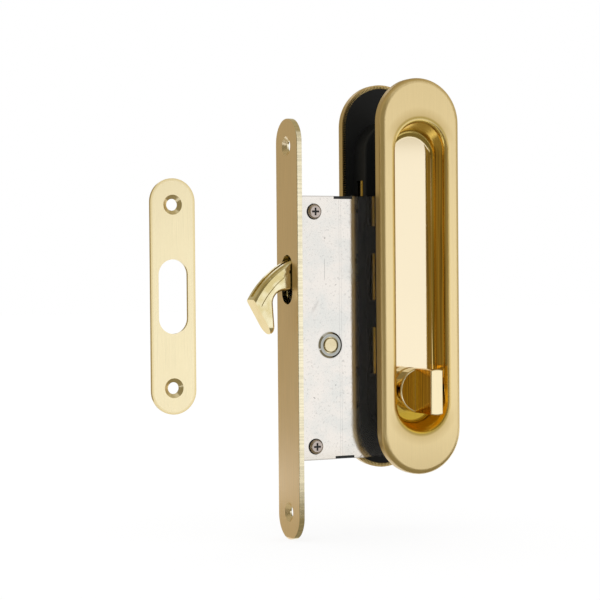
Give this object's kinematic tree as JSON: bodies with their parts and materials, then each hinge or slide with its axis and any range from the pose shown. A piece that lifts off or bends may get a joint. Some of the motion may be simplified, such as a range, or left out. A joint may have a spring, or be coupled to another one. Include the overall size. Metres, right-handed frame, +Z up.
{
  "type": "pocket door lock with flush pulls",
  "caption": "Pocket door hook lock: oval flush pulls on both door faces, a thumb turn that swings the hook bolt out of the forend, and a separate strike plate.",
  "frame": {"origin": "middle of the forend's seating face, midway between its two screw holes and in the middle of the door's thickness", "axes": "+X into the door from the forend's seating face, -Y towards the face with the thumb turn, +Z up along the forend"},
  "size_m": [0.1439, 0.0574, 0.2095],
  "materials": {
    "screw_steel": "nickel-plated, slightly warm",
    "zinc_steel": "bright zinc-plated sheet",
    "mechanism_steel": "bare",
    "black_plastic": "fine moulded texture",
    "satin_brass": "satin, lacquered",
    "strike_brass": "satin, lacquered",
    "cast_brass": "polished casting",
    "pin_brass": "turned",
    "pull_brass": "satin face, polished recess",
    "polished_brass": "polished"
  },
  "bodies": {
    "lock": {"forend": "satin_brass", "case_tray": "zinc_steel", "case_cover": "zinc_steel", "case_post_front_upper": "zinc_steel", "case_post_front_lower": "zinc_steel", "case_post_rear_upper": "zinc_steel", "case_post_rear_lower": "zinc_steel", "case_screw_front_upper": "screw_steel", "case_screw_front_lower": "screw_steel", "case_screw_rear_upper": "screw_steel", "case_screw_rear_lower": "screw_steel", "hook_pivot_pin": "pin_brass", "slide_guide_pin_front": "mechanism_steel", "slide_guide_pin_rear": "mechanism_steel", "front_pull_shell": "pull_brass", "front_pull_backing": "black_plastic", "back_pull_shell": "pull_brass", "back_pull_backing": "black_plastic", "fixing_sleeve_upper": "pin_brass", "fixing_sleeve_lower": "pin_brass", "through_screw_upper": "screw_steel", "through_screw_lower": "screw_steel", "strike_plate": "strike_brass"},
    "hook": {"hook_bolt": "cast_brass", "hook_tail_pin": "mechanism_steel"},
    "slide": {"drive_slide": "mechanism_steel"},
    "turn": {"follower_hub": "mechanism_steel", "square_spindle": "mechanism_steel", "thumb_turn": "polished_brass", "thumb_turn_clip": "mechanism_steel", "emergency_release": "polished_brass", "release_clip": "mechanism_steel"}
  },
  "joints": [
    {"name": "thumb_turn_spin", "type": "hinge", "parent": "lock", "child": "turn", "pos_m": [0.0549, 0, -0.0287], "axis": [0, -1, 0], "range_deg": [0, 90]},
    {"name": "drive_slide_travel", "type": "slide", "parent": "lock", "child": "slide", "axis": [-1, 0, 0], "range_m": [0, 0.01273]},
    {"name": "hook_swing", "type": "hinge", "parent": "lock", "child": "hook", "pos_m": [0.0161, 0, -0.0074], "axis": [0, 1, 0], "range_deg": [0, 44]}
  ],
  "couplings": [
    {"joint": "drive_slide_travel", "follows": "thumb_turn_spin", "m_per_rad": 0.0081},
    {"joint": "hook_swing", "follows": "thumb_turn_spin", "ratio": 0.4888}
  ]
}
